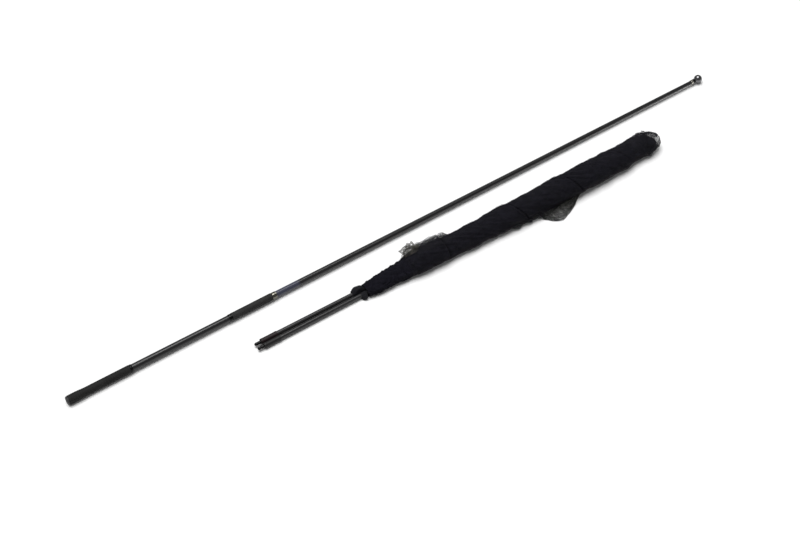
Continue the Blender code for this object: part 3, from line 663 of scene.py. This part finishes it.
def make_arm(side):
    """One arm: its tube, its shrunk sleeve, its stepped spigot and its soft tip cap."""
    line, body = arm_lines[side], side + "_arm"
    arm = taper(body + "_blank", line)
    start, end, _ = span(body + "_blank", line)
    along = steps_between(start, end, TUBE_STEP)
    outline = [(x, arm(x)) for x in along] + [(x, arm(x) - ARM_WALL) for x in reversed(along)]
    turned(body + "_tube", line, outline, paints["arm_carbon"], body, body + "_blank", around=72)

    start, end, outer = span(body + "_sleeve", line)
    bore = arm(start) + GAP
    turned(body + "_wrap", line, rounded(start, end, outer, bore, SOFT_EDGE, 0.0008), paints[side + "_sleeve"],
           body, body + "_sleeve", shrunk(start, end, outer), 72)

    start, end, _ = span(body + "_spigot", line)
    flange = arm(start)
    nose = radius_near(body + "_spigot", line, 0.008)
    shoulder, shank = span(body + "_sleeve", line)[0] - GAP, arm(end) - ARM_WALL - GAP
    turned(body + "_nose", line, [
        (start, 0), (start, nose - 0.0017), (start + 0.0004, nose - 0.0012), (start + 0.0026, nose),
        (start + 0.0068, nose), (start + 0.0072, nose - 0.0005), (start + 0.0086, nose - 0.0005),
        (start + 0.0090, nose), (shoulder - 0.0008, nose), (shoulder - 0.0004, nose + 0.0002),
        (shoulder, nose + 0.0006), (shoulder, flange - 0.0003), (shoulder + 0.0003, flange),
        (shoulder + 0.0012, flange), (shoulder + 0.0012, shank), (end, shank), (end, 0),
    ], paints["black_metal"], body, body + "_spigot", around=64, loop=False)

    start, end, outer = span(body + "_tip_cap", line)
    bore = outer - TIP_CAP_WALL
    arc = [pi / 2 * i / 10 for i in range(11)]
    dome = [(end - outer * (1 - sin(a)) * 0.9, outer * cos(a)) for a in arc]
    turned(body + "_cap", line, [
        (start, bore), (start, outer - 0.0002), (start + 0.0002, outer), *dome[:-1], (end, 0),
        (end - 0.0010, 0), (end - 0.0010, bore),
    ], paints["seal"], body, body + "_tip_cap", around=56, loop=False)


def shrunk(start, end, outer):
    """Heat-shrunk sleeve: it grips the blank closer away from its two moulded beads."""
    def relief(distance, turn, radius):
        share = (distance - start) / (end - start)
        waist = np.clip(np.sin(pi * np.clip(share, 0, 1)) * 1.4, 0, 1) * 0.00018
        beads = 0.00016 * (np.exp(-((share - 0.12) / 0.03) ** 2) + np.exp(-((share - 0.88) / 0.03) ** 2))
        return np.where(radius > outer * 0.97, beads - waist, 0)
    return relief


# ---------------------------------------------------------------- net head


def roll_profile():
    """The wound net's size from its CAD solid: places along it, middle, half width, height and half height."""
    local = head_line.local(corners_of("net_roll"))
    places = np.unique(np.round(local[:, 0], 4))
    rows = []
    for place in places:
        ring = local[abs(local[:, 0] - place) < 0.0006]
        top = ring[:, 2].max()
        wide = ring[(ring[:, 2] > 0.35 * top) & (ring[:, 2] < 0.75 * top)]
        if len(ring) < 20 or len(wide) < 4:
            continue
        rows.append((place, (wide[:, 1].max() + wide[:, 1].min()) / 2, np.ptp(wide[:, 1]) / 2, top / 2))
    rows = np.array(rows)
    # a row that is far narrower than both its neighbours has met only the cuts inside the roll
    inner = rows[1:-1, 2] < 0.75 * np.minimum(rows[:-2, 2], rows[2:, 2])
    return np.delete(rows, np.nonzero(inner)[0] + 1, axis=0)


def window(values, low, high, soft):
    """1 between two levels, easing to 0 outside them."""
    return np.clip((values - low) / soft + 0.5, 0, 1) * np.clip((high - values) / soft + 0.5, 0, 1)


def hump(values, middle, width):
    return np.exp(-((values - middle) / width) ** 2)


def ripple(points, scale):
    """Smooth noise at each point."""
    flat = points.reshape(-1, 3) * scale
    found = [noise.noise(Vector(p)) for p in flat]
    return np.array(found).reshape(points.shape[:-1])


def wrap_layers(along, turn):
    """The helical overlaps, each from 0 to 1: the turn's rise, its hem, the stitching and the trough."""
    knots = np.array(WRAP_KNOTS)
    turns = range(-1, 6)
    edges = np.array([np.interp(turn + k, knots[:, 0], knots[:, 1]) for k in turns])
    shows = np.array([np.interp(turn + k, knots[:, 0], knots[:, 2]) for k in turns])
    index = np.clip((along[None] >= edges).sum(0) - 1, 0, len(edges) - 2)

    def take(table, which):
        return np.take_along_axis(table, which[None], 0)[0]

    low, high = take(edges, index), take(edges, index + 1)
    show, behind = take(shows, index + 1), take(shows, index)
    share = np.clip((along - low) / (high - low), 0, 1)
    to_edge, past_edge = high - along, along - low
    layer = show * share ** 1.6
    hem = show * np.exp(-((to_edge - HEM_WIDTH / 2) / (HEM_WIDTH * 0.42)) ** 4)
    stitch = show * np.exp(-((to_edge - HEM_WIDTH) / 0.0012) ** 2)
    trough = behind * np.exp(-((past_edge - 0.0015) / 0.0030) ** 2)
    return layer, hem, stitch, trough


def roll_frame(along, turn):
    """(middle, height of the middle, half width, half height, angle) of the wound net's plain section."""
    middle, width, height = (np.interp(along, roll_table[:, 0], roll_table[:, k]) for k in (1, 2, 3))
    return middle, height * ROLL_RISE, width, height, 2 * pi * turn


def make_roll():
    """The wound net: helical overlaps and long folds, tight turns near the mouth, and a drawn-in far end."""
    start, end = roll_table[0, 0], roll_table[-1, 0]
    row = np.linspace(start, end, ROLL_ROWS)
    turn = np.arange(ROLL_COLUMNS) / ROLL_COLUMNS
    along, turn = np.meshgrid(row, turn, indexing="ij")
    angle = 2 * pi * turn
    layer, hem, stitch, trough = wrap_layers(along, turn)
    twist = angle - 2 * pi * along / FOLD_TWIST
    drum = np.stack((along, ROLL_RADIUS * np.cos(twist), ROLL_RADIUS * np.sin(twist)), -1)
    plain = np.stack((along, ROLL_RADIUS * np.cos(angle), ROLL_RADIUS * np.sin(angle)), -1)
    long_folds = ripple(drum, (14, 75, 75))
    fine_folds = ripple(drum + 5, (30, 190, 190))
    broad = ripple(plain, (22, 30, 30))
    near = np.clip((MOUTH_FOLDS_END - along) / MOUTH_FOLDS_FADE, 0, 1)
    near = near * np.clip((along - start) / 0.02 + 0.25, 0, 1)
    wander = ripple(plain + 9, (18, 34, 34))
    hoops = np.sin(2 * pi * (along / HOOP_PITCH + 3.2 * wander + 0.25 * np.sin(angle + along * 40)))
    crumple = ripple(plain + 3, (95, 60, 60))

    lift = LAYER_STEP * (layer - 0.35) + 0.0007 * hem - 0.0006 * stitch - 0.0068 * trough ** 2
    lift += 0.0015 * (1 - 2.2 * abs(long_folds)) * (1 - 0.5 * near)
    lift += 0.0006 * (1 - 2.4 * abs(fine_folds))
    lift += 0.0022 * broad
    lift += 0.0026 * near * hump(turn * 360, 70, 60)
    lift += near * (0.0009 * hoops * (0.6 + 1.2 * abs(crumple)) + 0.0014 * crumple)
    lift += 0.0011 * crumple
    lift -= 0.0026 * window(along, 0.965, 1.085, 0.03) * hump(turn * 360, 215, 60)
    under = np.clip((-np.sin(angle) - 0.45) / 0.3, 0, 1)
    lift *= 1 - 0.8 * under
    roll_lift[:] = row, lift
    points = raised(along, turn, lift)

    # the mouth turns in round the arms, and the far end draws shut
    first, last = points[0].mean(0), points[-1].mean(0)
    mouth = [first + (points[0] - first) * share - head_line.along * back
             for share, back in ((0.72, -0.010), (0.86, -0.004), (0.96, -0.0006))]
    tail = [last + (points[-1] - last) * share + head_line.along * ahead
            for share, ahead in ((0.93, 0.0016), (0.75, 0.0034), (0.45, 0.0046), (0.0, 0.0050))]
    points = np.concatenate((np.array(mouth), points, np.array(tail)))
    made = skin("wound_net", points, paints["net"], lengths_of(points), 0.0024 * DIAGONAL * 50, sharp=75)
    merge_close(made)
    belongs(made, "net_head", "net_roll")


def on_roll(along, turn):
    """The wound net's lift above its plain section, read back from the rows that were made."""
    rows, lift = roll_lift
    row = np.interp(along, rows, np.arange(len(rows)))
    column = (turn % 1) * lift.shape[1]
    i, j = np.clip(row.astype(int), 0, len(rows) - 2), column.astype(int)
    a, b = row - i, column - j
    j, k = j % lift.shape[1], (j + 1) % lift.shape[1]
    before = (1 - b) * lift[i, j] + b * lift[i, k]
    after = (1 - b) * lift[i + 1, j] + b * lift[i + 1, k]
    return (1 - a) * before + a * after


def raised(along, turn, lift, floor_gap=0.0004, soft=0.002, shrink=1.0):
    """Space points above the wound net's plain section, kept off the floor."""
    middle, rise, width, height, angle = roll_frame(along, turn)
    across, upward = np.cos(angle) / width, np.sin(angle) / height
    size = np.hypot(across, upward)
    y = middle + (width * np.cos(angle) + across / size * lift) * shrink
    z = rise + (height * np.sin(angle) + upward / size * lift) * shrink
    z = floor_gap + np.where(z - floor_gap > soft, z - floor_gap, soft * np.exp((z - floor_gap - soft) / soft))
    return head_line.points(along, y, z)


def threads(name, starts, ends, paint, thick=STRAND):
    """Three-sided strands between pairs of points."""
    along = ends - starts
    length = np.linalg.norm(along, axis=1)
    starts, ends, along = starts[length > 1e-6], ends[length > 1e-6], along[length > 1e-6]
    along /= np.linalg.norm(along, axis=1)[:, None]
    other = np.where(abs(along[:, 2:]) < 0.9, (0.0, 0.0, 1.0), (1.0, 0.0, 0.0))
    first = np.cross(along, other)
    first /= np.linalg.norm(first, axis=1)[:, None]
    second = np.cross(along, first)
    radius = thick / 3 ** 0.5
    rings = [first * radius * cos(2 * pi * k / 3) + second * radius * sin(2 * pi * k / 3) for k in range(3)]
    points = np.stack([starts + ring for ring in rings] + [ends + ring for ring in rings], 1).reshape(-1, 3)
    base = np.arange(len(starts))[:, None, None] * 6
    faces = base + np.array([(0, 1, 4, 3), (1, 2, 5, 4), (2, 0, 3, 5)])[None]
    mesh = bpy.data.meshes.new(name)
    mesh.vertices.add(len(points))
    mesh.vertices.foreach_set("co", points.ravel())
    faces = faces.reshape(-1, 4)
    mesh.loops.add(faces.size)
    mesh.loops.foreach_set("vertex_index", faces.ravel())
    mesh.polygons.add(len(faces))
    mesh.polygons.foreach_set("loop_start", np.arange(len(faces)) * 4)
    mesh.update(calc_edges=True)
    mesh.materials.append(paint)
    mesh.shade_smooth()
    made = bpy.data.objects.new(name, mesh)
    bpy.context.scene.collection.objects.link(made)
    return made


def lattice(name, place, across, along, paint, seed=1, loose=0.0003, thick=STRAND):
    """Diamond netting laid by place(u, v), with u and v from 0 to 1, and slightly uneven knots."""
    i, j = np.meshgrid(np.arange(across + 1), np.arange(along + 1), indexing="ij")
    points = place(i / across, j / along)
    points = points + np.random.default_rng(seed).normal(0, loose, points.shape)
    points[..., 2] = np.maximum(points[..., 2], thick * 0.6)
    starts, ends = [], []
    even = (i + j) % 2 == 0
    for step in (1, -1):
        a = points[:-1, 1:] if step < 0 else points[:-1, :-1]
        b = points[1:, :-1] if step < 0 else points[1:, 1:]
        use = even[:-1, 1:] if step < 0 else even[:-1, :-1]
        starts.append(a[use])
        ends.append(b[use])
    return threads(name, np.concatenate(starts), np.concatenate(ends), paint, thick)


def knots_for(width, length, pitch=MESH_PITCH):
    """Half-diamond counts across and along for a cloth of this size."""
    half = pitch / 2 ** 0.5
    return int(round(width / half)), int(round(length / half))


def make_loose_layer(name, start, end, low_turn, high_turn, share_of_slack, seed):
    """A slack turn of netting.  It stands off the roll at its shoulders and bags out at its far end."""

    def place(u, v):
        along, turn = start + v * (end - start), low_turn + u * (high_turn - low_turn)
        bagged = np.clip((along - BAG_START) / (BAG_END - BAG_START), 0, 1)
        steady, angle = np.minimum(along, BAG_START), turn * 360
        drum = np.stack((along, 0.03 * np.cos(2 * pi * turn), 0.03 * np.sin(2 * pi * turn)), -1)
        fold, crease = ripple(drum + seed, (40, 60, 60)), ripple(drum - seed, (130, 130, 130))
        slack = 0.0003 + 0.0011 * np.clip(fold + 0.25, 0, 1)
        slack += 0.0098 * window(along, 0.438, 0.522, 0.014) * hump(angle, 42, 19) * (1 + 0.3 * crease)
        slack += 0.0085 * hump(along, 0.695, 0.012) * hump(angle, 205, 14)
        slack += 0.0080 * window(along, 0.715, 0.800, 0.030) * hump(angle, 205, 16) * (1 + 0.5 * crease)
        slack += 0.0022 * np.clip(fold + 0.3, 0, 1) * hump(angle, 205, 14) * (along > 0.55)
        slack += 0.0040 * np.clip((along - 1.06) / 0.04, 0, 1) * np.clip(0.7 + fold + 1.6 * crease, 0.05, 2)
        size = np.sqrt(np.clip(1 - bagged ** 2.6, 0, 1)) * (1 - 0.12 * (1 - share_of_slack) * bagged)
        lift = on_roll(steady, turn) * (1 - bagged) + 0.0003 + slack * share_of_slack
        points = raised(steady, turn, lift, shrink=size)
        return points + head_line.along * (along - steady)[..., None]

    girth = 2 * pi * 0.0275 * (high_turn - low_turn)
    across, along = knots_for(girth, end - start)
    made = belongs(lattice(name, place, across, along, paints["dark_strand"], seed), "net_head")


def make_crease_shade_tapes():
    """A dark tape laid as painted shade in the crease beside the net's edge, along the stretches where a turn's
    edge shows.
    """
    knots = np.array(WRAP_KNOTS)
    for number, (first, last, thick) in enumerate(CREASE_SHADE_TAPES, 1):
        turn = np.linspace(first, last, 140)
        along = np.interp(turn, knots[:, 0], knots[:, 1]) + CREASE_SHADE_TAPE_BACK
        path = raised(along, turn % 1, on_roll(along, turn % 1) + CREASE_SHADE_TAPE_RISE)
        tape = threads(f"edge_binding_{number}", path[:-1], path[1:], paints["binding"], thick)
        belongs(tape, "net_head")


def make_gather(name, middle, radii, seed, paint):
    """A crumpled handful of netting that stands up on the far shoulder."""
    def place(u, v):
        lean, turn = 0.08 + 0.92 * u, 2 * pi * v
        out, rise = np.sin(lean * pi * 0.62), np.cos(lean * pi * 0.62)
        shape = np.stack((radii[0] * out * np.cos(turn), radii[1] * out * np.sin(turn), radii[2] * rise), -1)
        crumple = ripple(shape + seed, (150, 150, 150)) + 0.5 * ripple(shape - seed, (320, 320, 320))
        shape = shape * (1 + 0.5 * crumple)[..., None]
        return head_line.points(middle[0] + shape[..., 0], middle[1] + shape[..., 1], middle[2] + shape[..., 2])

    width, length = 1.95 * radii[0], pi * (radii[0] + radii[1])
    across, along = knots_for(width, length)
    made = belongs(lattice(name, place, across, along, paints[paint], seed, 0.0005), "net_head")


def make_flap():
    """The corner of netting that has slipped out on to the floor: three layers and their hems."""
    def curve(knots, share):
        knots = np.array(knots)
        steps = np.concatenate(([0], np.cumsum(np.linalg.norm(np.diff(knots, axis=0), axis=1))))
        return np.stack([np.interp(share * steps[-1], steps, knots[:, k]) for k in range(3)], -1)

    def layer(rise, pull, seed):
        def place(u, v):
            root, edge = curve(FLAP_ROOT, v), curve(FLAP_EDGE, v)
            gathers = np.sin(pi * u) * (0.0035 + 0.0030 * np.sin(v * 23 + seed + 2 * u))
            spot = root + (edge - root) * (u * pull)[..., None]
            wrinkle = ripple(spot + seed, (110, 110, 110))
            height = spot[..., 2] + rise * u + gathers + 0.0040 * wrinkle * np.sqrt(u)
            return head_line.points(spot[..., 0] + 0.003 * wrinkle * u, spot[..., 1], np.maximum(height, 0.0006))
        return place

    for name, rise, pull, seed in FLAP_LAYERS:
        place = layer(rise, pull, seed)
        across, along = knots_for(*FLAP_SIZE, FLAP_PITCH)
        edge = np.linspace(0, 1, 90)
        path = place(np.full_like(edge, 0.995), edge)
        hem = threads(name + "_hem", path[:-1], path[1:], paints["strand"], FLAP_HEM)
        belongs(hem, "net_head")
        net = lattice(name + "_net", place, across, along, paints["strand"], seed, 0.0006, FLAP_STRAND)
        made = belongs(net, "net_head")


def make_pocket(side, mouth_slant, swell, swell_angle):
    """A stitched cloth pocket of the net round an arm, gathered towards a slanting mouth."""
    node, arm = side + "_arm_pocket", arm_lines[side]
    local = arm.local(corners_of(node))
    start, end = local[:, 0].min(), local[:, 0].max()
    rows = []
    for at in np.unique(np.round(local[:, 0], 4)):
        ring = local[abs(local[:, 0] - at) < MESH_TOLERANCE]
        if len(np.unique(np.round(ring, 6), axis=0)) >= POCKET_SECTION_POINTS:
            low, high = ring[:, 1:].min(0), ring[:, 1:].max(0)
            rows.append((at, *((low + high) / 2), *((high - low) / 2)))
    table = np.array(rows)
    row = np.linspace(start, end, POCKET_ROWS)
    turn = np.arange(POCKET_COLUMNS) / POCKET_COLUMNS
    along, turn = np.meshgrid(row, turn, indexing="ij")
    middle_y, middle_z, width, height = (np.interp(along, table[:, 0], table[:, k]) for k in (1, 2, 3, 4))
    share = (along - start) / (end - start)
    angle = 2 * pi * turn
    gathers = np.sin(angle * 7 + 9 * share) * (0.25 + 0.75 * (1 - share)) * 0.0005
    drum = np.stack((along, np.cos(angle) * 0.008, np.sin(angle) * 0.008), -1)
    crease = ripple(drum, (120, 120, 120)) * 0.0014
    turned_away = np.cos(angle - radians(swell_angle))
    lift = np.clip(gathers + crease - 0.0004, -0.0016, 0.0010)
    lift += swell * np.clip(turned_away * 0.6 + 0.4, 0, 1) * np.sin(pi * np.clip(share * 0.8 + 0.05, 0, 1))
    y, z = middle_y + (width + lift) * np.cos(angle), middle_z + (height + lift) * np.sin(angle)
    hole = np.hypot(local[:, 1], local[:, 2]).min()
    clear = np.maximum(1, (hole + GAP) / np.hypot(y, z))
    y, z = y * clear, z * clear
    slant = mouth_slant * (1 - share) * (1 - turned_away) / 2
    points = arm.points(along + slant, y, np.maximum(z, 0.0006 - arm_height))
    bore = [arm.points(np.full(POCKET_COLUMNS, at), hole * np.cos(angle[0]), hole * np.sin(angle[0]))
            for at in (start + POCKET_LIP, end - POCKET_LIP)]
    points = np.concatenate((bore[0][None], points, bore[1][None]))
    made = skin(side + "_cord_pocket", points, paints["pocket"], lengths_of(points), 0.050, loop=True, sharp=75)
    belongs(made, "net_head", node)


roll_lift = [None, None]          # the rows' places and their lifts, which make_roll fills in
roll_table = roll_profile()

# ---------------------------------------------------------------- stage, light and camera


def direction(bearing, elevation):
    """The unit vector that points round from +X by the bearing and up by the elevation, in degrees."""
    flat = cos(radians(elevation))
    return Vector((cos(radians(bearing)) * flat, sin(radians(bearing)) * flat, sin(radians(elevation))))


def make_stage():
    """A white floor, a white sky and one broad key light from behind the object."""
    ends = (-FLOOR_REACH, FLOOR_REACH)
    corners = [(x, y, FLOOR_HEIGHT) for x, y in zip(ends + ends[::-1], (ends[0],) * 2 + (ends[1],) * 2)]
    white = Paint("floor_white", (0.90, 0.90, 0.90), 0.9)
    mesh_object("floor", corners, [(0, 1, 2, 3)], white.material)
    world = bpy.data.worlds.new("studio")
    world.use_nodes = True
    sky = world.node_tree.nodes["Background"]
    sky.inputs["Color"].default_value = (1, 1, 1, 1)
    sky.inputs["Strength"].default_value = SKY_STRENGTH
    bpy.context.scene.world = world
    light = bpy.data.lights.new("key", "SUN")
    light.angle = radians(KEY_SPREAD)
    light.energy = KEY_STRENGTH
    lamp = bpy.data.objects.new("key", light)
    lamp.rotation_euler = direction(KEY_BEARING, KEY_ELEVATION).to_track_quat("Z", "Y").to_euler()
    bpy.context.scene.collection.objects.link(lamp)


def make_camera():
    azimuth, elevation = radians(CAMERA_AZIMUTH), radians(CAMERA_ELEVATION)
    back = Vector((sin(azimuth) * cos(elevation), -cos(azimuth) * cos(elevation), sin(elevation)))
    data = bpy.data.cameras.new("camera")
    data.sensor_width = 36
    data.lens = CAMERA_LENS
    camera = bpy.data.objects.new("camera", data)
    camera.location = CAMERA_PLACE
    camera.rotation_mode = "QUATERNION"
    camera.rotation_quaternion = (-back).to_track_quat("-Z", "Y")
    bpy.context.scene.collection.objects.link(camera)
    bpy.context.scene.camera = camera
    bpy.context.scene.view_settings.view_transform = "Standard"


make_handle()
for arm_side in ("far", "near"):
    make_arm(arm_side)
make_roll()
for layer in LOOSE_LAYERS:
    make_loose_layer(*layer)
make_crease_shade_tapes()
for gather in GATHERS:
    make_gather(*gather)
make_flap()
for pocket in POCKETS:
    make_pocket(*pocket)
for node, paint in (("spreader_block", "moulded"), ("spreader_stud", "bright")):
    mesh = frame["nodes"][node].data
    mesh.materials.clear()
    mesh.materials.append(paints[paint])
make_stage()
make_camera()
